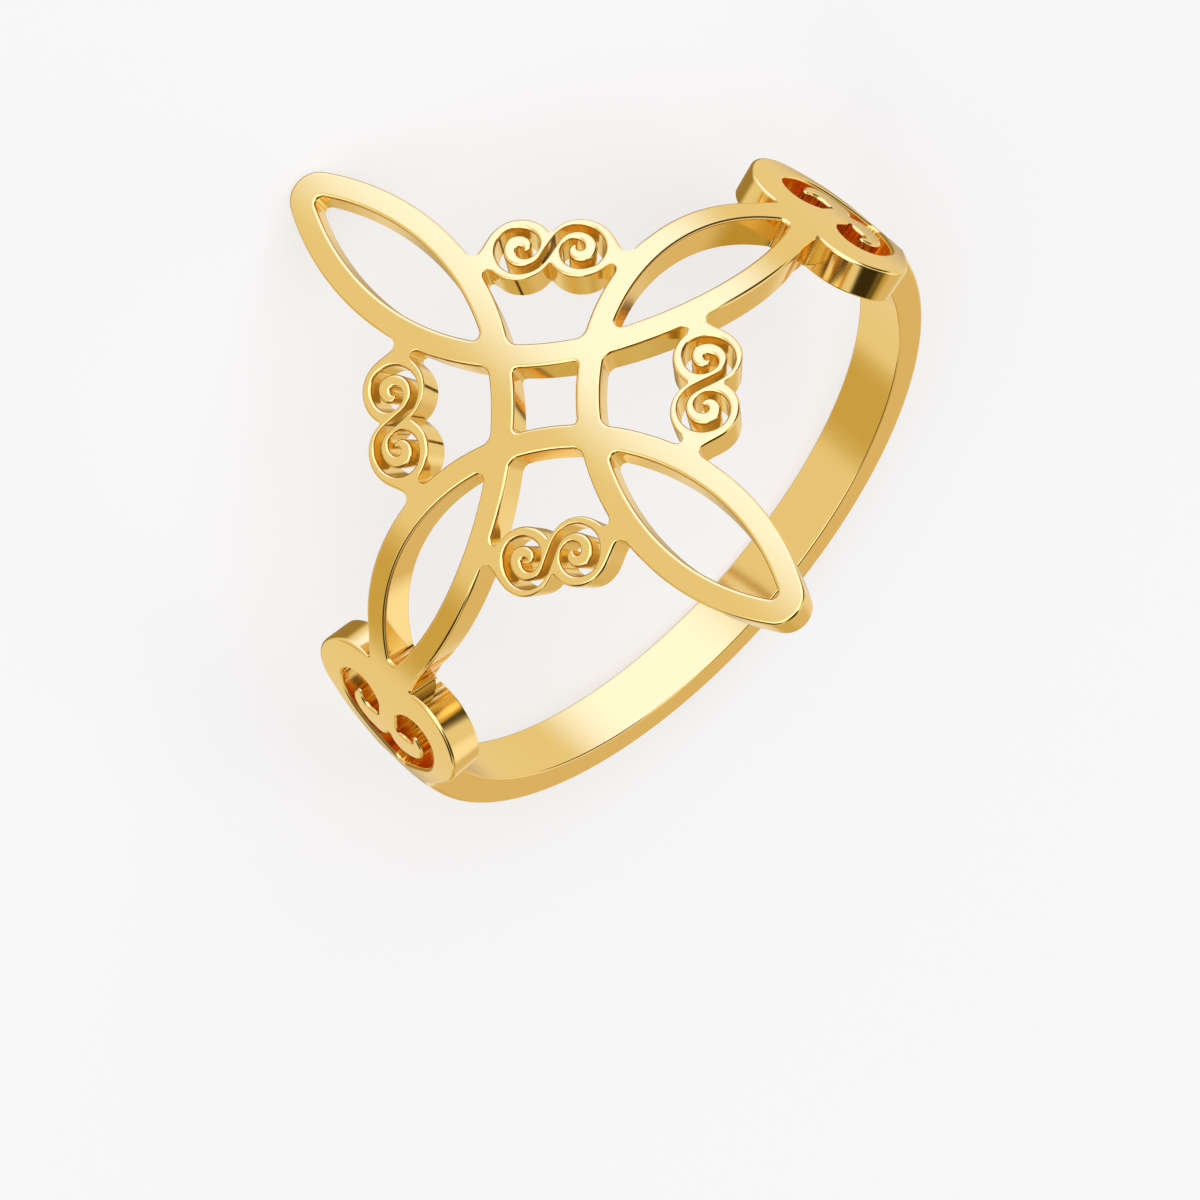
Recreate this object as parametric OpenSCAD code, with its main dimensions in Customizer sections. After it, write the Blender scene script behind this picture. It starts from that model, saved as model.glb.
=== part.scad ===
// Cutout ring: one casting, bent round the finger from a flat pierced pattern.
// Ring frame while it is drawn: X round the finger at the ornament, Y outwards, Z along the finger.
// At the end the whole ring is laid on its side, on one petal tip and the edge of the shank.

/* [Finger and metal] */
// Inside diameter of the ring
finger_d = 17; // [14:0.1:22]
// Thickness of the metal
metal_t = 0.95; // [0.8:0.05:1.6]
// Half the width of the plain shank
shank_half = 0.77; // [0.6:0.01:1.5]
// How much lower the shank's edges are than its middle
shank_dome = 0.10; // [0.02:0.01:0.3]

/* [Knot] */
// Distance of each circle's centre from the two middle lines
circle_at = 5.59; // [5.2:0.01:6]
// Inside radius of the circle bands
band_r = 6.454; // [6.2:0.001:6.8]
// Width of the circle bands
band_w = 0.648; // [0.5:0.001:0.9]
// Rounding of the free petal tips
tip_round = 0.71; // [0.4:0.01:0.9]
// How much the crossings are filled out
crossing_fill = 0.087; // [0.085:0.001:0.12]
// Rounding in the corners of the square opening
corner_round = 0.12; // [0.05:0.01:0.2]
// Rounding at the points of the ovals
lens_round = 0.17; // [0.05:0.01:0.2]

/* [Scroll panels] */
// Distance of a panel's waist from the two middle lines
waist_at = 2.934; // [2.8:0.001:3.1]
// Distance of each lobe's centre from the waist
lobe_at = 0.784; // [0.7:0.001:0.85]
// Radius of each lobe
lobe_r = 0.893; // [0.85:0.001:0.95]
// Distance of each curl's centre from the waist
curl_at = 0.698; // [0.66:0.001:0.72]
// Radius of each curl
curl_r = 0.61; // [0.58:0.001:0.64]
// Distance of a curl's end from the curl's centre
curl_end = 0.07; // [0.05:0.005:0.09]
// Width of the S cut
cut_w = 0.213; // [0.15:0.001:0.24]
// Distance of the necks from the middle lines
neck_at = 3.985; // [3.9:0.005:4.1]
// Half the width of a neck
neck_half = 0.222; // [0.18:0.002:0.3]

/* [Shoulders] */
// Distance of the shoulder lobes from the ornament's middle
heart_at = 10.58; // [10.5:0.01:10.7]
// Distance of the lobes from the middle line
heart_w = 1.06; // [1:0.01:1.1]
// Radius of the shoulder lobes
heart_r = 1.51; // [1.4:0.01:1.55]
// Where the shoulder has come down to the shank
heart_end = 13.36; // [13.2:0.01:13.4]
// Half width of the metal between petal and shoulder
throat_half = 0.756; // [0.74:0.001:0.76]
// Distance of the heart opening's lobes from the ornament's middle
hole_at = 10.76; // [10.7:0.01:10.9]
// Distance of the opening's lobes from the middle line
hole_w = 1.03; // [1:0.01:1.1]
// Radius of the opening's lobes
hole_r = 0.715; // [0.6:0.005:0.8]
// Radius of the opening's bulging sides
side_r = 2.0; // [1.8:0.05:2.2]
// Centre of the opening's rounded point
hole_end = 12.97; // [12.85:0.01:13.05]
// Radius of the opening's rounded point
hole_end_r = 0.31; // [0.25:0.01:0.4]
// Half the width of the tongue's stem
stem_half = 0.34; // [0.25:0.01:0.4]
// Where the stem ends
stem_end = 11.5; // [11.3:0.01:11.6]
// Centre of each curled arm, along the pattern
arm_at = 10.88; // [10.8:0.01:10.95]
// Centre of each curled arm, from the middle line
arm_w = 0.68; // [0.65:0.01:0.72]
// Inside radius of each curled arm
hook_r = 0.29; // [0.25:0.01:0.32]
// Half the width of an arm where it leaves the stem
arm_half = 0.445; // [0.38:0.005:0.46]
// Half the width of an arm at its tip
arm_tip = 0.10; // [0.08:0.01:0.12]

/* [Hidden] */
r_in = finger_d / 2;
r_out = r_in + metal_t;
r_mid = r_in + metal_t / 2;
far_r = band_r + band_w;
n_band = 10;
n_lobe = 36;

// Where one part of the bent pattern hands over to the next, as lengths round the finger
cross_w = (far_r * far_r - band_r * band_r) / (4 * circle_at);
seam_1 = circle_at - sqrt(band_r * band_r - (circle_at - cross_w) * (circle_at - cross_w));
seam_2 = circle_at;
seam_3 = 8.93;
seam_4 = 13.85;
lap = 0.02;

// Free petal tip and the tilt at which the ring lies on it
tip_q = far_r - tip_round;
tip_w = circle_at + sqrt(tip_q * tip_q - circle_at * circle_at) + tip_round;
edge_r = r_out - shank_dome;
tilt = atan((tip_w - shank_half) / (r_in + edge_r));
low_z = r_in * sin(tilt) - tip_w * cos(tilt);
mid_y = ((edge_r * cos(tilt) + shank_half * sin(tilt)) - (r_out * cos(tilt) + tip_w * sin(tilt))) / 2;

function turn(s) = s / r_mid * 180 / PI;
function dir(a) = [cos(a), sin(a)];
function arc(c, r, a0, a1, n) = [for (i = [0 : n]) c + r * dir(a0 + (a1 - a0) * i / n)];
function flipped(line) = [for (i = [len(line) - 1 : -1 : 0]) [line[i][0], -line[i][1]]];

module disc(c, r, n = n_lobe) {
    translate(c) polygon([for (i = [0 : n - 1]) r * [cos((i + 0.5) * 360 / n), sin((i + 0.5) * 360 / n)]]);
}

// Two discs and the straight sides that touch both
module taper(c0, r0, c1, r1) {
    b = atan2(c1[1] - c0[1], c1[0] - c0[0]);
    g = acos((r0 - r1) / norm(c1 - c0));
    polygon(concat(arc(c0, r0, b + g, b + 360 - g, n_lobe * 3 / 4), arc(c1, r1, b - g, b + g, n_lobe / 4)));
}

// Pointed oval between two circles, along X, its near and far points rounded
module oval(r, near = 0, far = 0) {
    qn = sqrt((r - near) * (r - near) - circle_at * circle_at);
    qf = sqrt((r - far) * (r - far) - circle_at * circle_at);
    an = atan2(circle_at, qn);
    af = atan2(circle_at, qf);
    polygon(concat(
        arc([circle_at, -circle_at], r, af, 90 - 1.8, n_band),
        arc([circle_at, -circle_at], r, 90 + 1.8, 180 - an, n_band),
        near > 0 ? arc([circle_at - qn, 0], near, 180 - an + 12, 180 + an - 12, 8) : [],
        arc([circle_at, circle_at], r, 180 + an, 270 - 1.8, n_band),
        arc([circle_at, circle_at], r, 270 + 1.8, 360 - af, n_band),
        far > 0 ? arc([circle_at + qf, 0], far, -af + 12, af - 12, 8) : []
    ));
}

// Four-sided opening between four circles in the middle, its corners rounded
module four_sided(r, round = 0) {
    c = circle_at - sqrt((r + round) * (r + round) - circle_at * circle_at);
    b = atan2(circle_at, circle_at - c);
    polygon([for (k = [0 : 3], q = concat(
        round > 0 ? arc([c, 0], round, -b + 10, b - 10, 5) : [],
        arc([circle_at, circle_at], r, 180 + b, 270 - b, 7)
    )) [q[0] * cos(90 * k) - q[1] * sin(90 * k), q[0] * sin(90 * k) + q[1] * cos(90 * k)]]);
}

// The knot and its openings in the flat pattern
module knot() {
    half = cross_w + crossing_fill;
    difference() {
        union() {
            four_sided(band_r);
            for (a = [90, -90]) rotate(a) oval(far_r, 0, tip_round);
            for (a = [0, 180]) rotate(a) oval(far_r);
            square([2 * seam_1 + 0.5, 2 * half], center = true);
            square([2 * half, 2 * seam_1 + 0.5], center = true);
        }
        four_sided(far_r, corner_round);
        for (a = [0 : 90 : 270]) rotate(a) oval(band_r, lens_round, lens_round);
    }
}

// Outline of the S cut in the quarter where both lengths are positive. About a curl's centre its middle
// line opens out from the curl's end, goes on as part of a circle and leaves straight for the waist. One
// half of the outline runs along the inside of one curl and the outside of the other to its round end;
// the other half is the same, turned about the waist.
waist = [waist_at, waist_at];
curl_c = waist + curl_at * [-1, 1] / sqrt(2);
curl_from = -200;
leave = 315 - acos(curl_r / curl_at);
function curl_radius(a) = a > 90 ? curl_r : curl_end + (curl_r - curl_end) * pow((a - curl_from) / (90 - curl_from), 1.3);
function curl_edge(side, a0, n) = concat(
    [for (i = [0 : n]) let (a = a0 + (90 - a0) * i / n) curl_c + (curl_radius(a) + side) * dir(a)],
    [for (i = [1 : 13]) curl_c + (curl_r + side) * dir(90 + (leave - 90) * i / 13)]
);
s_inside = curl_edge(-cut_w / 2, -103, 13);
s_outside = concat(
    arc(curl_c + curl_end * dir(curl_from), cut_w / 2, -46, 160, 8),
    [for (i = [1 : 33]) curl_edge(cut_w / 2, curl_from, 20)[i]]
);
s_half = concat(s_inside, [for (i = [len(s_outside) - 1 : -1 : 0]) 2 * waist - s_outside[i]]);

// One scroll panel with its two necks, in the quarter where both lengths are positive
module scroll() {
    difference() {
        union() {
            for (k = [-1, 1]) disc(waist + k * lobe_at * [-1, 1] / sqrt(2), lobe_r);
            translate([0.95, neck_at - neck_half]) square([waist_at - 1.2, 2 * neck_half]);
            translate([neck_at - neck_half, 0.95]) square([2 * neck_half, waist_at - 1.2]);
        }
        polygon(concat(s_half, [for (q = s_half) 2 * waist - q]));
    }
}

// Heart opening of a shoulder panel, along +X: round lobes, bulging sides and a rounded point
heart_side = concat(
    arc([hole_end, 0], hole_end_r, 0, 45, 3),
    arc([hole_at, hole_w + hole_r - side_r], side_r, 45, 85, 6),
    arc([hole_at, hole_w], hole_r, 90, 270, 15)
);

// Curled arm of the tongue: round its hollow it narrows evenly from the stem to the tip
arm_from = -15;
arm_to = 100;
function arm_width(a) = arm_half + (arm_tip - arm_half) * (a - arm_from) / (arm_to - arm_from);
arm_c = [arm_at, arm_w];
arm_line = concat(
    arc(arm_c, hook_r, arm_from, arm_to, 8),
    arc(arm_c + (hook_r + arm_tip) * dir(arm_to), arm_tip, 250, 130, 4),
    [for (i = [10 : -1 : 0]) let (a = arm_from + (arm_to - arm_from) * i / 10) arm_c + (hook_r + 2 * arm_width(a)) * dir(a)],
    arc(arm_c + (hook_r + arm_half) * dir(arm_from), arm_half, -35, -175, 7)
);

module heart_hole() {
    difference() {
        polygon(concat(heart_side, flipped(heart_side)));
        translate([hole_at - 1, -stem_half]) square([stem_end - hole_at + 1, 2 * stem_half]);
        polygon(arm_line);
        polygon(flipped(arm_line));
    }
}

// One shoulder panel, along +X, with its heart opening and curled tongue
module shoulder() {
    difference() {
        union() {
            for (k = [-1, 1]) taper([heart_at, k * heart_w], heart_r, [heart_end, 0], shank_half);
            translate([heart_at - 1, -heart_w]) square([2.4, 2 * heart_w]);
            translate([seam_3 - 0.3, -throat_half]) square([1, 2 * throat_half]);
            translate([heart_end, -shank_half]) square([seam_4 + 0.5 - heart_end, 2 * shank_half]);
        }
        heart_hole();
    }
}

// Pieces of the flat pattern; at every seam the outlines run along the pattern, so they meet exactly
module core() {
    intersection() {
        knot();
        translate([-seam_1 - 0.15, -12]) square([2 * seam_1 + 0.3, 24]);
    }
}

module petal_near() {
    intersection() {
        knot();
        translate([seam_1 - 0.12, -3]) square([seam_2 - seam_1 + 0.26, 6]);
    }
}

module petal_far() {
    intersection() {
        difference() {
            union() {
                oval(far_r);
                translate([seam_3 - 0.5, -throat_half]) square([1, 2 * throat_half]);
            }
            oval(band_r, lens_round, lens_round);
        }
        translate([seam_2 - 0.14, -3]) square([seam_3 - seam_2 + 0.27, 6]);
    }
}

module shoulder_flat() {
    intersection() {
        shoulder();
        translate([seam_3 - 0.12, -3]) square([seam_4 - seam_3 + 0.26, 6]);
    }
}

module scrolls_flat() {
    for (k = [0, 1]) mirror([0, k]) scroll();
}

// Full-height piece of cake between two lengths round the finger
module cake(s0, s1) {
    linear_extrude(24, center = true) polygon([
        [0, 0],
        20 * [sin(turn(s0)), cos(turn(s0))],
        20 * [sin(turn(s1)), cos(turn(s1))]
    ]);
}

// Stands a flat piece up: drawn about length s, pushed through the metal at that place round the finger
module upright(s) {
    rotate([0, 0, -turn(s)]) translate([0, r_out + 0.1, 0]) rotate([90, 0, 0])
        linear_extrude(metal_t + 0.5) translate([-s, 0]) children();
}

module bent(s, s0, s1) {
    intersection() {
        cake(s0, s1);
        upright(s) children();
    }
}

module half_head() {
    bent((seam_1 + seam_2) / 2, seam_1, seam_2) petal_near();
    bent((seam_2 + seam_3) / 2, seam_2, seam_3) petal_far();
    bent((seam_3 + seam_4) / 2, seam_3, seam_4) shoulder_flat();
    upright(waist_at) scrolls_flat();
}

// The pierced ornament and shoulders: everything that stands in the wall of one tube
module head() {
    intersection() {
        difference() {
            cylinder(h = 20, r = r_out, center = true, $fn = 360);
            cylinder(h = 21, r = r_in, center = true, $fn = 360);
        }
        union() {
            bent(0, -seam_1, seam_1) core();
            half_head();
            mirror([1, 0, 0]) half_head();
        }
    }
}

// Plain band round the back: flat inside, slightly domed outside
module shank() {
    a = turn(seam_4 - lap);
    rotate([0, 0, 90 + a]) rotate_extrude(angle = 360 - 2 * a, $fn = 360)
        polygon(concat(
            [[r_in, -shank_half]],
            [for (k = [-4 : 4]) let (z = shank_half * k / 4) [r_out - shank_dome * pow(k / 4, 2), z]],
            [[r_in, shank_half]]
        ));
}

module ring() {
    color([0.93, 0.74, 0.36]) {
        head();
        shank();
    }
}

// Laid down: the ornament faces -Y, the lowest petal tip and the shank's edge touch the ground
module laid() {
    translate([0, -mid_y, -low_z]) rotate([-tilt, 0, 0]) rotate([0, 0, 180]) children();
}

laid() ring();
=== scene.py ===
"""Cutout ring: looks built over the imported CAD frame.

Lengths in the pattern are millimetres and Blender's units are metres. The flat pattern has s round the
finger, from the middle of the ornament, and w along the finger. It is bent about the middle of the
metal's thickness, so a point at s stands at the angle s / (middle radius) round the ring.
"""
import math
from types import SimpleNamespace

import bpy
import numpy as np
from mathutils import Matrix, Vector
from mathutils.geometry import delaunay_2d_cdt


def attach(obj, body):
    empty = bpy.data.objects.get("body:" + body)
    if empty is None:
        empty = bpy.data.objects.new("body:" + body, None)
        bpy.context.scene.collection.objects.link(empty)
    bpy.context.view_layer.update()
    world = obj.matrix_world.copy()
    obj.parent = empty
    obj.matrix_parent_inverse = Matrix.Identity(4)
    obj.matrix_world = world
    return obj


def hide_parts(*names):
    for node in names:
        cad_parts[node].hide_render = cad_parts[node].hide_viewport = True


bl_info = {
    "name": "Cutout ring",
    "version": (1, 0, 0),
    "blender": (4, 5, 0),
    "location": "3D View > Sidebar > Ring",
    "description": "A pierced ring with a knot, scroll panels and heart shoulders, cast in one piece",
    "category": "Add Mesh",
}

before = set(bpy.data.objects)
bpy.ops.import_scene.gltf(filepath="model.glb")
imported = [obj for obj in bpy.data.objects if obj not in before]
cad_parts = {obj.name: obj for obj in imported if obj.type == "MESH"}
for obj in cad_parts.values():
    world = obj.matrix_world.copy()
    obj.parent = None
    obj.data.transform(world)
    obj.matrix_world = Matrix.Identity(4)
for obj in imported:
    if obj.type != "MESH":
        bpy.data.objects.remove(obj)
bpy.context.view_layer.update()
MM = 0.001


# Sizes and colours a user would change

class RingSizes(bpy.types.PropertyGroup):
    """Sizes of the casting, as in the CAD part."""
    finger_d: bpy.props.FloatProperty(
        name="Inside diameter", description="Across the finger hole", default=0.017, unit="LENGTH")
    metal_t: bpy.props.FloatProperty(
        name="Thickness", description="Thickness of the metal", default=0.00095, unit="LENGTH")
    shank_half: bpy.props.FloatProperty(
        name="Shank half width", description="Half the plain band's width", default=0.00077, unit="LENGTH")
    shank_dome: bpy.props.FloatProperty(
        name="Shank dome", description="How much lower the shank's edges are than its middle",
        default=0.0001, unit="LENGTH")
    circle_at: bpy.props.FloatProperty(
        name="Circle centres", description="Distance of the circles' centres from the two middle lines",
        default=0.00559, unit="LENGTH")
    band_r: bpy.props.FloatProperty(
        name="Band inside radius", description="Inside radius of the circle bands",
        default=0.006454, unit="LENGTH")
    band_w: bpy.props.FloatProperty(
        name="Band width", description="Width of the circle bands", default=0.000648, unit="LENGTH")
    tip_round: bpy.props.FloatProperty(
        name="Tip rounding", description="Rounding of the free petal tips", default=0.00071, unit="LENGTH")
    waist_at: bpy.props.FloatProperty(
        name="Scroll waist", description="Distance of a scroll panel's waist from the middle lines",
        default=0.002934, unit="LENGTH")
    lobe_r: bpy.props.FloatProperty(
        name="Scroll lobe", description="Radius of a scroll panel's lobes", default=0.000893, unit="LENGTH")
    curl_r: bpy.props.FloatProperty(
        name="Curl", description="Radius of the S cut's curls", default=0.00061, unit="LENGTH")
    cut_w: bpy.props.FloatProperty(
        name="S cut", description="Width of the S cut", default=0.000213, unit="LENGTH")
    rim: bpy.props.FloatProperty(
        name="Outer rim", description="Rounding of the outer edges", default=0.000105, unit="LENGTH")
    rim_in: bpy.props.FloatProperty(
        name="Inner rim", description="Rounding of the edges at the finger",
        default=0.000055, unit="LENGTH")


class GoldFinish(bpy.types.PropertyGroup):
    """Colour and polish of the gold."""
    colour: bpy.props.FloatVectorProperty(
        name="Gold", description="Colour of the polished gold", subtype="COLOR", size=3,
        default=(0.90, 0.65, 0.235))
    roughness: bpy.props.FloatProperty(
        name="Roughness", description="Roughness of the polish", default=0.1,
        subtype="FACTOR", min=0.0, max=1.0)


class StudioSetup(bpy.types.PropertyGroup):
    """Floor, light and camera."""
    floor: bpy.props.FloatVectorProperty(
        name="Floor", description="Colour of the floor", subtype="COLOR", size=3,
        default=(0.43, 0.41, 0.375))
    floor_glow: bpy.props.FloatProperty(
        name="Floor glow", description="Light that comes through the pale floor", default=0.593)
    floor_half: bpy.props.FloatProperty(
        name="Floor half size", description="From the middle of the floor to its edge",
        default=0.6, unit="LENGTH")
    lens: bpy.props.FloatProperty(
        name="Lens", description="Focal length on a 36 mm sensor, in millimetres", default=530.0)


def in_mm(group):
    """The group's lengths in millimetres, as the pattern's formulas take them."""
    return SimpleNamespace(**{key: getattr(group, key) / MM for key in group.__annotations__})


# Fixed places of the flat pattern in millimetres: centres as (s, w), boxes as (s0, s1, w0, w1), and
# a corner is the radius of the round that fills or softens it

KNOT_CORNER = 0.2
SQUARE_CORNER, PETAL_CORNER = 0.12, 0.17
# scroll panels: from the waist to a lobe along s and w, to a curl's centre, and a curl's last radius
LOBE_OFF = 0.784 / math.sqrt(2)
CURL_OFF, CURL_END = 0.698, 0.07
NECK_SIDES, NECK_ENDS = (3.762, 4.206), (0.9, 2.3)
WAIST_CORNER, NECK_CORNER = 0.04, 0.22
PANEL_REACH = 1.9
# shoulders, from the knot down to where the plain band starts
THROAT = (8.5, 9.9, -0.756, 0.756)
SHOULDER_LOBE, SHOULDER_LOBE_R, SHOULDER_FOOT = (10.58, 1.06), 1.51, (13.36, 0)
SHOULDER_FILL = (9.6, 12.0, -1.06, 1.06)
BAND_FROM = 12.5
THROAT_CORNER, SHOULDER_CORNER, FOOT_CORNER = 0.3, 0.08, 0.5
# heart openings and their tongues
HEART_LOBE, HEART_LOBE_R = (10.76, 1.03), 0.715
HEART_SIDE, HEART_SIDE_R, HEART_POINT, HEART_POINT_R = (10.76, -0.255), 2.0, (12.97, 0), 0.31
STEM = (9.7, 11.5, -0.34, 0.34)
ARM_AT, ARM_HOLLOW, ARM_HALF = (10.88, 0.68), 0.29, (0.445, 0.10)
ARM_TURN = (math.radians(-15), math.radians(100))
ARM_CORNER = 0.09
# the shank's dome starts at the first and is full after the second
DOME_FROM, DOME_OVER = 13.3, 1.7

# Drawing: half the length drawn along the finger, a distance that is surely outside, and the points
# across each face where the ring closes at the back
REACH = 9.8
FAR = 9.0
SEAM_POINTS = 5


# Flat pattern as signed distances, negative in the metal, whole arrays at a time

def disc(s, w, c, r):
    """Distance from a round edge: length to the centre less the radius."""
    return np.hypot(s - c[0], w - c[1]) - r


def joined(a, b, r):
    """Two shapes made one, the corner between them filled with a quarter round of radius r."""
    return np.maximum(r, np.minimum(a, b)) - np.hypot(np.maximum(r - a, 0), np.maximum(r - b, 0))


def oval(s, w, at, r, tip):
    """Pointed oval where two circles of radius r overlap, its points rounded by tip: the overlap of
    circles smaller by tip, grown by tip."""
    q = r - tip
    half = math.sqrt(q * q - at * at)
    x, y = np.abs(s - at), np.abs(w)
    return np.where((x - half) * at > y * half, np.hypot(x - half, y), np.hypot(x, y + at) - q) - tip


def four_sided(s, w, at, r, tip):
    """The space between four circles of radius r round the middle, its corners rounded by tip."""
    q = r + tip
    x, y = np.maximum(s, w), np.minimum(s, w)
    h = math.sqrt(q * q - at * at)
    return np.where((x - at + h) * at > y * h, np.hypot(x - at + h, y), q - np.hypot(x - at, y - at)) - tip


def taper(s, w, c0, r0, c1, r1):
    """Two discs and the straight sides that touch both."""
    c0, c1 = np.array(c0, float), np.array(c1, float)
    span = math.hypot(*(c1 - c0))
    e = (c1 - c0) / span
    k = (r0 - r1) / span
    c = math.sqrt(1 - k * k)
    x = (s - c0[0]) * e[0] + (w - c0[1]) * e[1]
    y = np.abs((w - c0[1]) * e[0] - (s - c0[0]) * e[1])
    along = x * c - y * k
    return np.where(along < 0, np.hypot(x, y) - r0,
                    np.where(along > span * c, np.hypot(x - span, y) - r1, y * c + x * k - r0))


def box(s, w, s0, s1, w0, w1):
    """Upright rectangle, exact outside and inside."""
    a = np.abs(s - (s0 + s1) / 2) - (s1 - s0) / 2
    b = np.abs(w - (w0 + w1) / 2) - (w1 - w0) / 2
    return np.hypot(np.maximum(a, 0), np.maximum(b, 0)) + np.minimum(np.maximum(a, b), 0)


def curled_arm(s, w, c, r, a0, a1, h0, h1):
    """Arm round a hollow of radius r: its half width goes evenly from h0 at the angle a0 to h1 at a1, and
    its ends are round."""
    t = np.clip((np.arctan2(w - c[1], s - c[0]) - a0) / (a1 - a0), 0, 1)
    half, on = h0 + (h1 - h0) * t, a0 + t * (a1 - a0)
    return np.hypot(s - c[0] - (r + half) * np.cos(on), w - c[1] - (r + half) * np.sin(on)) - half


def s_line(p):
    """Middle line of the S cut in the first quarter: from its end each curl opens out over most of a turn,
    the radius growing with the angle's power 1.3, keeps its radius for half a turn, and leaves straight
    for the waist."""
    waist = np.array([p.waist_at, p.waist_at])
    c = waist + CURL_OFF * np.array([-1, 1]) / math.sqrt(2)
    leave = math.radians(315) - math.acos(p.curl_r / CURL_OFF)
    a = np.radians(np.linspace(-200, 90, 50))
    r = CURL_END + (p.curl_r - CURL_END) * np.linspace(0, 1, 50) ** 1.3
    b = np.linspace(math.radians(90), leave, 34)[1:]
    a, r = np.concatenate([a, b]), np.concatenate([r, np.full(b.shape, p.curl_r)])
    half = c + np.stack([r * np.cos(a), r * np.sin(a)], 1)
    return np.concatenate([half, (2 * waist - half)[::-1]])


def s_cut(s, w, p):
    """Distance from the S cut's edge: nearest stretch of its middle line, less half its width. It is
    worked out in a square round the scroll panel alone."""
    line = s_line(p)
    out = np.full(s.shape, FAR)
    near = (np.abs(s - p.waist_at) < PANEL_REACH) & (np.abs(w - p.waist_at) < PANEL_REACH)
    x, y = s[near], w[near]
    best = np.full(x.shape, FAR)
    for a, b in zip(line[:-1], line[1:]):
        d = b - a
        t = np.clip(((x - a[0]) * d[0] + (y - a[1]) * d[1]) / (d @ d), 0, 1)
        best = np.minimum(best, np.hypot(x - a[0] - t * d[0], y - a[1] - t * d[1]))
    out[near] = best - p.cut_w / 2
    return out


def pattern(s, w, p):
    """The whole flat pattern in millimetres. It is the same in all four quarters, so lengths are folded."""
    s, w = np.abs(s), np.abs(w)
    at, far = p.circle_at, p.band_r + p.band_w
    # knot: the middle and its four petals
    body = joined(four_sided(s, w, at, p.band_r, 0), oval(s, w, at, far, 0), KNOT_CORNER)
    free_petal = np.where(w < at, oval(w, s, at, far, 0), oval(w, s, at, far, p.tip_round))
    body = joined(body, free_petal, KNOT_CORNER)
    # scroll panel and its two necks
    lo, hi = p.waist_at - LOBE_OFF, p.waist_at + LOBE_OFF
    panel = joined(disc(s, w, (lo, hi), p.lobe_r), disc(s, w, (hi, lo), p.lobe_r), WAIST_CORNER)
    necks = np.minimum(box(s, w, *NECK_ENDS, *NECK_SIDES), box(s, w, *NECK_SIDES, *NECK_ENDS))
    body = joined(body, joined(panel, necks, NECK_CORNER), NECK_CORNER)
    # throat and shoulder, running down to the shank
    shoulder = taper(s, w, SHOULDER_LOBE, SHOULDER_LOBE_R, SHOULDER_FOOT, p.shank_half)
    shoulder = np.minimum(shoulder, box(s, w, *SHOULDER_FILL))
    shoulder = joined(shoulder, np.maximum(w - p.shank_half, BAND_FROM - s), FOOT_CORNER)
    body = joined(body, box(s, w, *THROAT), THROAT_CORNER)
    body = joined(body, shoulder, SHOULDER_CORNER)
    # heart opening, a round lobe and a bulging side down to the rounded point, and its curled tongue
    side = taper(s, w, HEART_SIDE, HEART_SIDE_R, HEART_POINT, HEART_POINT_R)
    heart = np.minimum(disc(s, w, HEART_LOBE, HEART_LOBE_R), np.maximum(side, HEART_SIDE[0] - s))
    body = np.maximum(body, -heart)
    arm = curled_arm(s, w, ARM_AT, ARM_HOLLOW, *ARM_TURN, *ARM_HALF)
    body = np.minimum(body, joined(box(s, w, *STEM), arm, ARM_CORNER))
    # openings of the knot and the S cut
    holes = np.minimum(four_sided(s, w, at, far, SQUARE_CORNER), oval(s, w, at, p.band_r, PETAL_CORNER))
    holes = np.minimum(holes, oval(w, s, at, p.band_r, PETAL_CORNER))
    holes = np.minimum(holes, s_cut(s, w, p))
    return np.maximum(body, -holes)


def slope(f, s, w, h=0.004):
    """Unit direction in which the distance grows, by differences."""
    g = np.stack([f(s + h, w) - f(s - h, w), f(s, w + h) - f(s, w - h)], -1)
    return g / np.maximum(np.hypot(g[..., 0], g[..., 1]), 1e-9)[..., None]


def settle(f, q, steps=4):
    """Points moved onto the edge, each along the slope by its own distance, 0.03 mm a step at most."""
    for _ in range(steps):
        q = q - (f(q[:, 0], q[:, 1])[:, None] * slope(f, q[:, 0], q[:, 1])).clip(-0.03, 0.03)
    return q


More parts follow.
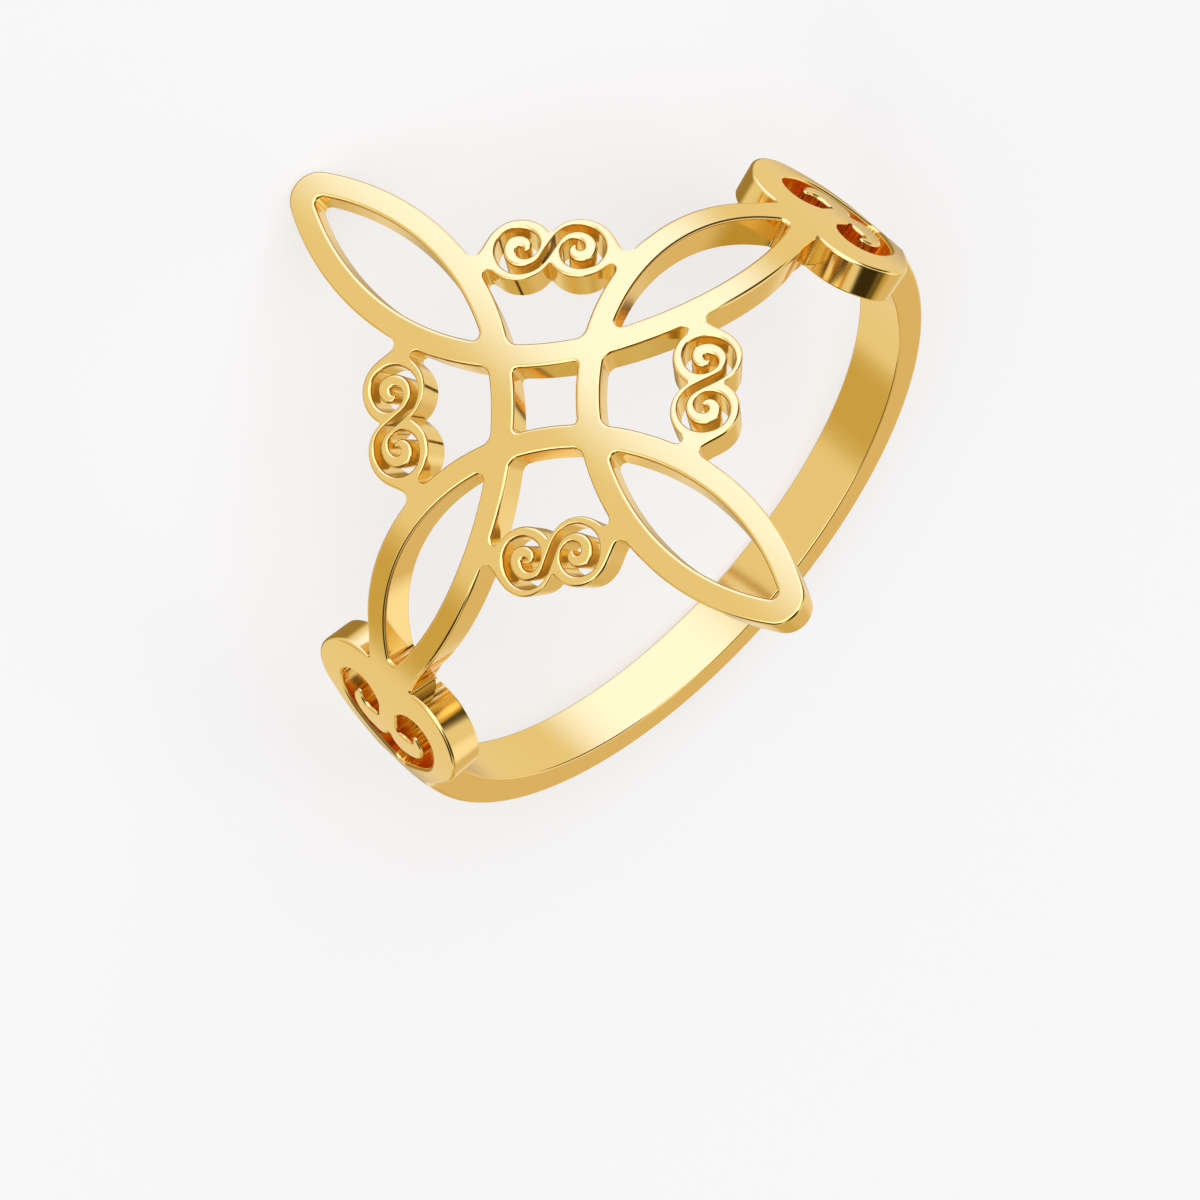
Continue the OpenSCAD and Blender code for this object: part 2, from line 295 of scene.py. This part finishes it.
def outlines(f, end, step):
    """Edges of the pattern as ordered lines of points, metal on the left. Every square of a grid is two
    triangles, a line crosses a triangle where the distance changes sign, and the crossings are put in
    order by doubling the steps along them. The grid stands a little off the middle, so that no edge of
    the pattern runs along one of its lines."""
    ns, nw = int(round(2 * end / step)), int(round(2 * REACH / step))
    s = np.linspace(-end, end, ns + 1)
    w = np.linspace(-REACH, REACH, nw + 1) + 0.0013
    S, W = np.meshgrid(s, w, indexing="ij")
    D = f(S, W)
    D[D == 0] = 1e-9
    n = nw + 1
    i, j = np.meshgrid(np.arange(ns), np.arange(nw), indexing="ij")
    a = (i * n + j).ravel()
    b, c, d = a + n, a + n + 1, a + 1
    tri = np.concatenate([np.stack([a, b, c], 1), np.stack([a, c, d], 1)])
    flat, sp, wp = D.ravel(), S.ravel(), W.ravel()
    inside = flat[tri] < 0
    tri, inside = tri[inside.any(1) & ~inside.all(1)], inside[inside.any(1) & ~inside.all(1)]
    odd = np.where(inside.sum(1) == 1, inside.argmax(1), (~inside).argmax(1))
    rows = np.arange(len(tri))
    apex, nxt, prv = tri[rows, odd], tri[rows, (odd + 1) % 3], tri[rows, (odd + 2) % 3]
    single = inside.sum(1) == 1
    first = np.where(single[:, None], np.stack([apex, prv], 1), np.stack([apex, nxt], 1))
    last = np.where(single[:, None], np.stack([apex, nxt], 1), np.stack([apex, prv], 1))
    keys = np.sort(np.concatenate([first, last]), 1)
    keys = keys[:, 0] * np.int64(len(flat)) + keys[:, 1]
    ids, where = np.unique(keys, return_inverse=True)
    lo, hi = ids // len(flat), ids % len(flat)
    t = (flat[lo] / (flat[lo] - flat[hi]))[:, None]
    q = np.stack([sp[lo], wp[lo]], 1) * (1 - t) + np.stack([sp[hi], wp[hi]], 1) * t
    m = len(ids)
    start, stop = where[:len(first)], where[len(first):]
    step_to = np.arange(m)
    step_to[stop] = start
    # name each line by its lowest point, open lines by the point nothing leads to
    name, jump = np.arange(m), step_to.copy()
    for _ in range(int(math.ceil(math.log2(m))) + 1):
        name = np.minimum(name, name[jump])
        jump = jump[jump]
    ends = step_to == np.arange(m)
    tail = jump
    closed = ~ends[tail]
    group = np.where(closed, name, m + tail)
    heads = np.unique(name[closed])
    stop_at = step_to.copy()
    stop_at[heads] = heads
    left = (stop_at != np.arange(m)).astype(np.int64)
    jump = stop_at.copy()
    for _ in range(int(math.ceil(math.log2(m))) + 1):
        left = left + left[jump]
        jump = jump[jump]
    order = np.lexsort((-left, group))
    cuts = np.flatnonzero(np.diff(group[order])) + 1
    lines = []
    for part in np.split(order, cuts):
        if closed[part[0]]:
            part = np.concatenate([part[-1:], part[:-1]])
        lines.append((q[part], bool(closed[part[0]])))
    return lines


def spaced(q, closed, f, even, turn):
    """The line again with points every `even` millimetres, closer where it turns, about `turn` degrees
    from point to point."""
    loop = np.concatenate([q, q[:1]]) if closed else q
    d = np.diff(loop, axis=0)
    ds = np.hypot(d[:, 0], d[:, 1])
    g = slope(f, loop[:, 0], loop[:, 1])
    bend = np.arccos(np.clip((g[1:] * g[:-1]).sum(1), -1, 1))
    kernel = np.array([1, 2, 3, 2, 1]) / 9.0
    bend = np.convolve(np.pad(bend, 2, mode="wrap" if closed else "edge"), kernel, "valid")
    cost = np.concatenate([[0], np.cumsum(np.maximum(ds / even, bend / math.radians(turn)) + 1e-9)])
    n = max(int(math.ceil(cost[-1])), 8)
    at = np.linspace(0, cost[-1], n + 1)[:-1] if closed else np.linspace(0, cost[-1], n + 1)
    out = np.stack([np.interp(at, cost, loop[:, k]) for k in (0, 1)], 1)
    fixed = settle(f, out, 3)
    if not closed:
        fixed[[0, -1]] = out[[0, -1]]
    return fixed


def rim_room(f, q, g, rim):
    """How much of the rim's rounding fits at each point: the way inwards until the metal's middle, where
    the distance stops growing, as a share of the rim. A rim takes 0.7 of it and is whole at most."""
    share = np.full(len(q), 0.06)
    for k in np.linspace(0.1, 1.25, 24):
        deep = -f(q[:, 0] - g[:, 0] * rim * k, q[:, 1] - g[:, 1] * rim * k)
        ok = (deep > 0.97 * rim * k) & (share > k - 0.09)
        share = np.where(ok, k, share)
    return np.minimum(share * 0.7, 1.0)


def outer_radius(s, w, p):
    """Outer radius of the metal: even on the ornament; on the shank it falls with the square of the
    distance from the middle line, by 1.4 of the dome at most, and this comes in smoothly past the
    shoulders."""
    t = np.clip((np.abs(s) - DOME_FROM) / DOME_OVER, 0, 1)
    drop = p.shank_dome * np.minimum((w / p.shank_half) ** 2, 1.4)
    return p.finger_d / 2 + p.metal_t - drop * t * t * (3 - 2 * t)


def outer_slope(s, w, p, h=0.01):
    """How the outer radius grows along s and along w, by differences."""
    return ((outer_radius(s + h, w, p) - outer_radius(s - h, w, p)) / (2 * h),
            (outer_radius(s, w + h, p) - outer_radius(s, w - h, p)) / (2 * h))


def edge_rows(q, g, share, p):
    """Rows of points and normals round the metal's edge, from the outer face over the outer rim, down the
    wall and over the inner rim. A rim is a quarter round: at the angle a from the face it lies
    rim * (1 - sin a) inside the outline and rim * (1 - cos a) below the face."""
    places, heights, normals = [], [], []
    mid = p.finger_d / 2 + p.metal_t / 2
    for a in np.radians(np.linspace(0, 90, 6)):
        rim = p.rim * share[0]
        at = q - g * (rim * (1 - math.sin(a)))[:, None]
        r = outer_radius(at[:, 0], at[:, 1], p)
        ds, dw = outer_slope(at[:, 0], at[:, 1], p)
        places.append(at)
        heights.append(r - rim * (1 - math.cos(a)))
        normals.append(np.stack([(g[:, 0] * math.sin(a) - ds * math.cos(a)) * mid / r,
                                 g[:, 1] * math.sin(a) - dw * math.cos(a),
                                 np.full(len(q), math.cos(a))], 1))
    for a in np.radians(np.linspace(90, 0, 5)):
        rim = p.rim_in * share[1]
        r = p.finger_d / 2 + rim * (1 - math.cos(a))
        places.append(q - g * (rim * (1 - math.sin(a)))[:, None])
        heights.append(r)
        normals.append(np.stack([g[:, 0] * math.sin(a) * mid / r, g[:, 1] * math.sin(a),
                                 np.full(len(q), -math.cos(a))], 1))
    return np.array(places), np.array(heights), np.array(normals)


def face_triangles(f, points, links):
    """Triangles of the flat face inside the links, as indexes of the points. Triangles that share an edge
    which is no link get one number, the lowest of theirs, and a number is metal where the distance f,
    averaged over its triangles' middles by area, is negative."""
    _, _, tris, origin, _, _ = delaunay_2d_cdt([Vector(q) for q in points.tolist()], links.tolist(), [],
                                               0, 1e-6, True)
    tris = np.array([o[0] if o else -1 for o in origin])[np.array(tris)]
    count = len(points)

    def key(pairs):
        return pairs.min(1).astype(np.int64) * count + pairs.max(1)

    keys = np.concatenate([key(tris[:, [k, (k + 1) % 3]]) for k in range(3)])
    owner = np.tile(np.arange(len(tris)), 3)
    order = keys.argsort(kind="stable")
    same = np.flatnonzero((np.diff(keys[order]) == 0) & ~np.isin(keys[order][:-1], key(links)))
    one, two = owner[order[same]], owner[order[same + 1]]
    number, before = np.arange(len(tris)), None
    while before is None or not np.array_equal(before, number):
        before = number.copy()
        low = np.minimum(number[one], number[two])
        np.minimum.at(number, one, low)
        np.minimum.at(number, two, low)
        number = number[number]
    a, b, c = (points[tris[:, k]] for k in range(3))
    area = ((b - a)[:, 0] * (c - a)[:, 1] - (b - a)[:, 1] * (c - a)[:, 0]) / 2
    tris = np.where(area[:, None] < 0, tris[:, ::-1], tris)
    area, middle = np.abs(area), (a + b + c) / 3
    weight = np.bincount(number, area * f(middle[:, 0], middle[:, 1]), len(tris))
    metal = weight[number] < 0
    u, v = points[links[:, 0]], points[links[:, 1]]
    bound = abs((u[:, 0] * v[:, 1] - u[:, 1] * v[:, 0]).sum() / 2)
    if tris.min() < 0 or abs(area[metal].sum() - bound) > 0.005 * bound:
        raise RuntimeError("a face of the ring isn't filled: %.2f of %.2f mm2" % (area[metal].sum(), bound))
    return tris[metal]


def casting(p):
    """Vertices, faces and normals of the whole ring in its own frame, in millimetres: edge rows along every
    outline, and the outer and inner faces filled between them."""
    def f(s, w):
        return pattern(s, w, p)

    end = math.pi * (p.finger_d + p.metal_t) / 2
    q, nxt, share, ends, base = [], [], [], [], 0
    for line, closed in outlines(f, end, 0.04):
        line = spaced(line, closed, f, 0.2, 9.0)
        n = len(line)
        g = slope(f, line[:, 0], line[:, 1])
        room = []
        for rim in (p.rim, p.rim_in):
            k = rim_room(f, line, g, rim)
            soft = np.convolve(np.pad(k, 3, mode="wrap" if closed else "edge"), np.ones(7) / 7, "valid")
            room.append(np.minimum(k, soft))
        share.append(np.array(room))
        q.append(line)
        nxt.append(np.append(np.arange(1, n), 0 if closed else n - 1) + base)
        if not closed:
            ends += [base, base + n - 1]
        base += n
    q, nxt, share = np.concatenate(q), np.concatenate(nxt), np.concatenate(share, 1)
    ends = np.array(ends)
    q[ends] = np.stack([np.sign(q[ends, 0]) * end, np.sign(q[ends, 1]) * p.shank_half], 1)
    g = slope(f, q[:, 0], q[:, 1])
    g[ends] = np.stack([np.zeros(len(ends)), np.sign(q[ends, 1])], 1)
    places, heights, normals = edge_rows(q, g, share, p)
    rows, n = heights.shape
    on = np.flatnonzero(nxt != np.arange(n))
    strip = np.stack([on, nxt[on], nxt[on] + n, on + n], 1)
    quads = np.concatenate([strip + k * n for k in range(rows - 1)])
    # points inside the faces, in rows 0.26 mm apart with every second row moved on by half a step
    gs, gw = np.meshgrid(np.arange(-end + 0.2, end - 0.15, 0.3), np.arange(-9.3, 9.31, 0.26), indexing="ij")
    gs = gs + 0.15 * (np.arange(gw.shape[1]) % 2)
    inner = np.stack([gs.ravel(), gw.ravel()], 1)
    deep = f(inner[:, 0], inner[:, 1]) < -max(p.rim, p.rim_in) - 0.09
    inner = inner[deep & (np.abs(inner[:, 0]) < end - 0.15)]
    across = np.linspace(-1, 1, SEAM_POINTS + 2)[1:-1]
    verts_s, verts_r, verts_n = [places.reshape(-1, 2)], [heights.ravel()], [normals.reshape(-1, 3)]
    faces = []
    count = rows * n
    for row, outer in ((0, True), (rows - 1, False)):
        edge = places[row]
        reach = np.abs(edge[ends, 1]).min()
        left = np.stack([np.full(SEAM_POINTS, -end), across * reach], 1)
        right = np.stack([np.full(SEAM_POINTS, end), across * reach], 1)
        extra = np.concatenate([left, right, inner])
        points = np.concatenate([edge, extra])
        links = [np.stack([on, nxt[on]], 1)]
        for side, first in ((-1, n), (1, n + SEAM_POINTS)):
            here = ends[np.sign(edge[ends, 0]) == side]
            low, high = here[edge[here, 1].argsort()]
            chain = np.concatenate([[low], first + np.arange(SEAM_POINTS), [high]])
            chain = chain if side == 1 else chain[::-1]
            links.append(np.stack([chain[:-1], chain[1:]], 1))
        tris = face_triangles(f, points, np.concatenate(links))
        index = np.concatenate([row * n + np.arange(n), count + np.arange(len(extra))])
        faces.append(index[tris[:, ::-1] if outer else tris])
        count += len(extra)
        r = outer_radius(extra[:, 0], extra[:, 1], p) if outer else np.full(len(extra), p.finger_d / 2)
        verts_s.append(extra)
        verts_r.append(r)
        if outer:
            ds, dw = outer_slope(extra[:, 0], extra[:, 1], p)
            verts_n.append(np.stack([-ds, -dw, np.ones(len(extra))], 1))
        else:
            verts_n.append(np.tile([0.0, 0.0, -1.0], (len(extra), 1)))
    flat, r, nrm = np.concatenate(verts_s), np.concatenate(verts_r), np.concatenate(verts_n)
    # close the seam at the back, where the pattern's two ends meet
    a, b = np.flatnonzero(flat[:, 0] < -end + 1e-6), np.flatnonzero(flat[:, 0] > end - 1e-6)
    gap = np.hypot(flat[a, 1][:, None] - flat[b, 1], r[a][:, None] - r[b])
    if gap.min(1).max() > 1e-3 or len(a) != len(b):
        raise RuntimeError("the ring's two ends don't meet")
    to = np.arange(len(r))
    to[a] = b[gap.argmin(1)]
    used, to = np.unique(to, return_inverse=True)
    tris = np.concatenate(faces)
    turn = flat[used, 0] / ((p.finger_d + p.metal_t) / 2)
    r, w, nrm = r[used], flat[used, 1], nrm[used]
    sin, cos = np.sin(turn), np.cos(turn)
    verts = np.stack([r * sin, r * cos, w], 1)
    nrm = np.stack([nrm[:, 0] * cos + nrm[:, 2] * sin, nrm[:, 2] * cos - nrm[:, 0] * sin, nrm[:, 1]], 1)
    nrm /= np.linalg.norm(nrm, axis=1)[:, None]
    return verts, to[quads], to[tris], nrm


def laid(verts, nrm, p):
    """The ring on its side: turned half round, tipped forwards until the lowest petal tip and the shank's
    edge touch the ground, centred on it."""
    far, r_in, r_out = p.band_r + p.band_w, p.finger_d / 2, p.finger_d / 2 + p.metal_t
    q = far - p.tip_round
    tip = p.circle_at + math.sqrt(q * q - p.circle_at ** 2) + p.tip_round
    edge = r_out - p.shank_dome
    tilt = math.atan((tip - p.shank_half) / (r_in + edge))
    low = r_in * math.sin(tilt) - tip * math.cos(tilt)
    mid = ((edge * math.cos(tilt) + p.shank_half * math.sin(tilt))
           - (r_out * math.cos(tilt) + tip * math.sin(tilt))) / 2
    turn = np.array(Matrix.Rotation(-tilt, 3, "X") @ Matrix.Rotation(math.pi, 3, "Z"))
    return (verts @ turn.T + [0, -mid, -low]) * MM, nrm @ turn.T


def closed_check(faces):
    """Every edge must be used once each way."""
    pairs = np.concatenate([np.stack([f, np.roll(f, -1, 1)], 2).reshape(-1, 2) for f in faces])
    pairs = pairs.astype(np.int64)
    one = pairs[:, 0] << 32 | pairs[:, 1]
    other = pairs[:, 1] << 32 | pairs[:, 0]
    if len(np.unique(one)) != len(one) or not np.array_equal(np.sort(one), np.sort(other)):
        raise RuntimeError("the ring's surface isn't closed")


# Finishes

def group(name, inputs, outputs):
    """Empty shader node group with named sockets; inputs are (name, kind, default)."""
    tree = bpy.data.node_groups.new(name, "ShaderNodeTree")
    for label, kind, default in inputs:
        socket = tree.interface.new_socket(label, in_out="INPUT", socket_type=kind)
        if default is not None:
            socket.default_value = default
    for label, kind in outputs:
        tree.interface.new_socket(label, in_out="OUTPUT", socket_type=kind)
    return tree, tree.nodes.new("NodeGroupInput"), tree.nodes.new("NodeGroupOutput")


def polish_group():
    """Slight unevenness of the polish: a fine noise for the height, and a coarser one that moves the
    roughness by Change up and down from place to place."""
    tree, given, out = group(
        "Polish",
        [("Vector", "NodeSocketVector", None), ("Scale", "NodeSocketFloat", 900.0),
         ("Roughness", "NodeSocketFloat", 0.12), ("Change", "NodeSocketFloat", 0.03)],
        [("Roughness", "NodeSocketFloat"), ("Height", "NodeSocketFloat")])
    n, link = tree.nodes, tree.links.new
    fine = n.new("ShaderNodeTexNoise")
    fine.inputs["Detail"].default_value = 3.0
    wide = n.new("ShaderNodeTexNoise")
    wide.inputs["Scale"].default_value = 260.0
    fit = n.new("ShaderNodeMapRange")
    low, high = n.new("ShaderNodeMath"), n.new("ShaderNodeMath")
    low.operation, high.operation = "SUBTRACT", "ADD"
    for node in (low, high):
        link(given.outputs["Roughness"], node.inputs[0])
        link(given.outputs["Change"], node.inputs[1])
    link(given.outputs["Vector"], fine.inputs["Vector"])
    link(given.outputs["Scale"], fine.inputs["Scale"])
    link(given.outputs["Vector"], wide.inputs["Vector"])
    link(wide.outputs["Fac"], fit.inputs["Value"])
    link(low.outputs[0], fit.inputs["To Min"])
    link(high.outputs[0], fit.inputs["To Max"])
    link(fit.outputs["Result"], out.inputs["Roughness"])
    link(fine.outputs["Fac"], out.inputs["Height"])
    return tree


def gold_material(finish):
    """Polished yellow gold."""
    mat = bpy.data.materials.new("Polished gold")
    mat.use_nodes = True
    n, link = mat.node_tree.nodes, mat.node_tree.links.new
    shader = n["Principled BSDF"]
    shader.inputs["Base Color"].default_value = (*finish.colour, 1.0)
    shader.inputs["Metallic"].default_value = 1.0
    shader.inputs["Specular Tint"].default_value = (1.0, 0.95, 0.85, 1.0)
    where = n.new("ShaderNodeTexCoord")
    polish = n.new("ShaderNodeGroup")
    polish.node_tree = polish_group()
    polish.inputs["Roughness"].default_value = finish.roughness
    bump = n.new("ShaderNodeBump")
    bump.inputs["Strength"].default_value = 0.04
    bump.inputs["Distance"].default_value = 0.00002
    link(where.outputs["Object"], polish.inputs["Vector"])
    link(polish.outputs["Roughness"], shader.inputs["Roughness"])
    link(polish.outputs["Height"], bump.inputs["Height"])
    link(bump.outputs["Normal"], shader.inputs["Normal"])
    return mat


def floor_material(colour, glow):
    """Pale matt sheet with some light coming through it, so that shadows on it stay light."""
    mat = bpy.data.materials.new("Pale floor")
    mat.use_nodes = True
    shader = mat.node_tree.nodes["Principled BSDF"]
    shader.inputs["Base Color"].default_value = (*colour, 1.0)
    shader.inputs["Roughness"].default_value = 0.9
    shader.inputs["Specular IOR Level"].default_value = 0.0
    shader.inputs["Emission Color"].default_value = (1.0, 1.0, 1.0, 1.0)
    shader.inputs["Emission Strength"].default_value = glow
    return mat


# Soft zones of the studio's light: direction from the ring, how many degrees off it the zone is full and
# where it ends, and its colour. Later zones lie over earlier ones.
LIGHT_LEVEL = (0.90, 0.86, 0.75)
LIGHT_ZONES = (
    ((-0.64, -0.76, -0.10), 16, 48, (1.2, 1.48, 2.7)),
    ((0.89, -0.24, -0.36), 8, 26, (0.66, 0.52, 0.21)),
    ((0.0, -0.58, 0.81), 20, 36, (1.9, 2.1, 2.6)),
    ((0.62, -0.58, 0.53), 14, 26, (1.6, 1.75, 2.2)),
    ((-0.62, -0.58, 0.53), 14, 26, (1.6, 1.75, 2.2)),
    ((-0.04, 0.99, -0.02), 8, 24, (0.78, 0.66, 0.45)),
    ((-0.35, 0.85, 0.40), 10, 24, (1.1, 1.1, 1.2)),
    ((0.50, 0.82, -0.28), 14, 30, (0.68, 0.55, 0.25)),
    ((0.30, 0.85, 0.42), 8, 24, (0.55, 0.40, 0.10)),
    ((0.16, 0.38, 0.91), 22, 30, (0.04, 0.03, 0.01)),
    ((0.10, -0.05, 0.99), 12, 22, (0.04, 0.03, 0.01)),
    ((0.02, 0.75, 0.66), 8, 14, (0.04, 0.03, 0.01)),
    ((0.92, 0.12, 0.30), 21, 30, (0.06, 0.04, 0.01)),
    ((-0.88, 0.12, 0.42), 19, 28, (0.06, 0.04, 0.01)),
    ((-0.05, 0.10, -0.99), 28, 44, (0.38, 0.28, 0.10)),
)


def soft_world():
    """Studio light all round: an even level, and zones that fade into it, brighter or darker."""
    world = bpy.data.worlds.new("Soft studio")
    world.use_nodes = True
    n, link = world.node_tree.nodes, world.node_tree.links.new
    where = n.new("ShaderNodeTexCoord")
    colour = None
    for at, full, none, level in LIGHT_ZONES:
        dot, fade = n.new("ShaderNodeVectorMath"), n.new("ShaderNodeMapRange")
        mix = n.new("ShaderNodeMixRGB")
        dot.operation, fade.interpolation_type = "DOT_PRODUCT", "SMOOTHSTEP"
        dot.inputs[1].default_value = Vector(at).normalized()
        fade.inputs["From Min"].default_value = math.cos(math.radians(none))
        fade.inputs["From Max"].default_value = math.cos(math.radians(full))
        mix.inputs[1].default_value = (*LIGHT_LEVEL, 1.0)
        mix.inputs[2].default_value = (*level, 1.0)
        link(where.outputs["Generated"], dot.inputs[0])
        link(dot.outputs["Value"], fade.inputs["Value"])
        link(fade.outputs["Result"], mix.inputs[0])
        if colour is not None:
            link(colour, mix.inputs[1])
        colour = mix.outputs[0]
    link(colour, n["Background"].inputs["Color"])
    return world


# Camera at the photo's angle: its place in metres, and its axes right, up and back as columns
CAMERA_AT = (0.016214, -0.297862, 0.360904)
CAMERA_TURN = ((-0.66644034, -0.74499598, 0.02895277), (0.55695986, -0.52329615, -0.64494717),
               (0.49563393, -0.41369328, 0.76367852))
SENSOR_MM = 36.0

# With fewer the narrow openings of the shoulders turn black
GLOSSY_BOUNCES = 12


# Operators, one for the ring and one for the stage

class RING_OT_casting(bpy.types.Operator):
    """Build the pierced ring"""
    bl_idname = "ring.casting"
    bl_label = "Ring"

    def execute(self, context):
        p = in_mm(context.scene.ring_sizes)
        verts, quads, tris, nrm = casting(p)
        verts, nrm = laid(verts, nrm, p)
        closed_check([quads, tris])
        mesh = bpy.data.meshes.new("cutout_ring")
        mesh.from_pydata(verts.tolist(), [], quads.tolist() + tris.tolist())
        mesh.polygons.foreach_set("use_smooth", np.ones(len(mesh.polygons), bool))
        mesh.normals_split_custom_set_from_vertices(nrm.tolist())
        mesh.materials.append(gold_material(context.scene.gold_finish))
        ring = bpy.data.objects.new("cutout_ring", mesh)
        context.scene.collection.objects.link(ring)
        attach(ring, "root")
        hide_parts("ring")
        print("ring:", len(quads) * 2 + len(tris), "triangles")
        return {"FINISHED"}


class RING_OT_stage(bpy.types.Operator):
    """Build the floor, the light and the camera"""
    bl_idname = "ring.stage"
    bl_label = "Floor, light and camera"

    def execute(self, context):
        scene, setup = context.scene, context.scene.studio_setup
        mesh = bpy.data.meshes.new("floor")
        half = setup.floor_half
        corners = [(-half, -half, 0), (half, -half, 0), (half, half, 0), (-half, half, 0)]
        mesh.from_pydata(corners, [], [(0, 1, 2, 3)])
        mesh.materials.append(floor_material(setup.floor, setup.floor_glow))
        floor = bpy.data.objects.new("floor", mesh)
        floor.visible_glossy = False  # the gold mirrors the light and not the floor's edge
        scene.collection.objects.link(floor)
        scene.world = soft_world()
        scene.view_settings.view_transform = "Standard"
        scene.cycles.glossy_bounces = GLOSSY_BOUNCES
        camera = bpy.data.cameras.new("camera")
        camera.lens, camera.sensor_width = setup.lens, SENSOR_MM
        camera.clip_start, camera.clip_end = 0.01, 10.0
        eye = bpy.data.objects.new("camera", camera)
        eye.matrix_world = Matrix.Translation(CAMERA_AT) @ Matrix(CAMERA_TURN).to_4x4()
        scene.collection.objects.link(eye)
        scene.camera = eye
        return {"FINISHED"}


class RING_PT_panel(bpy.types.Panel):
    """Buttons and sizes in the 3D view's sidebar"""
    bl_idname = "RING_PT_panel"
    bl_label = "Cutout ring"
    bl_space_type = "VIEW_3D"
    bl_region_type = "UI"
    bl_category = "Ring"

    def draw(self, context):
        for operator in OPERATORS:
            self.layout.operator(operator.bl_idname)
        for holder in ("ring_sizes", "gold_finish", "studio_setup"):
            values = getattr(context.scene, holder)
            for key in values.__annotations__:
                self.layout.prop(values, key)


OPERATORS = (RING_OT_casting, RING_OT_stage)
GROUPS = {"ring_sizes": RingSizes, "gold_finish": GoldFinish, "studio_setup": StudioSetup}


def register():
    """Adds the classes, and the groups of sizes to the scene."""
    for cls in (*GROUPS.values(), *OPERATORS, RING_PT_panel):
        bpy.utils.register_class(cls)
    for key, cls in GROUPS.items():
        setattr(bpy.types.Scene, key, bpy.props.PointerProperty(type=cls))


def unregister():
    """Takes them away again."""
    for key in GROUPS:
        delattr(bpy.types.Scene, key)
    for cls in (RING_PT_panel, *reversed(OPERATORS), *reversed(list(GROUPS.values()))):
        bpy.utils.unregister_class(cls)


def main():
    """Builds everything in order."""
    register()
    bpy.ops.ring.casting()
    bpy.ops.ring.stage()
    bpy.context.view_layer.update()


if __name__ == "__main__":
    main()
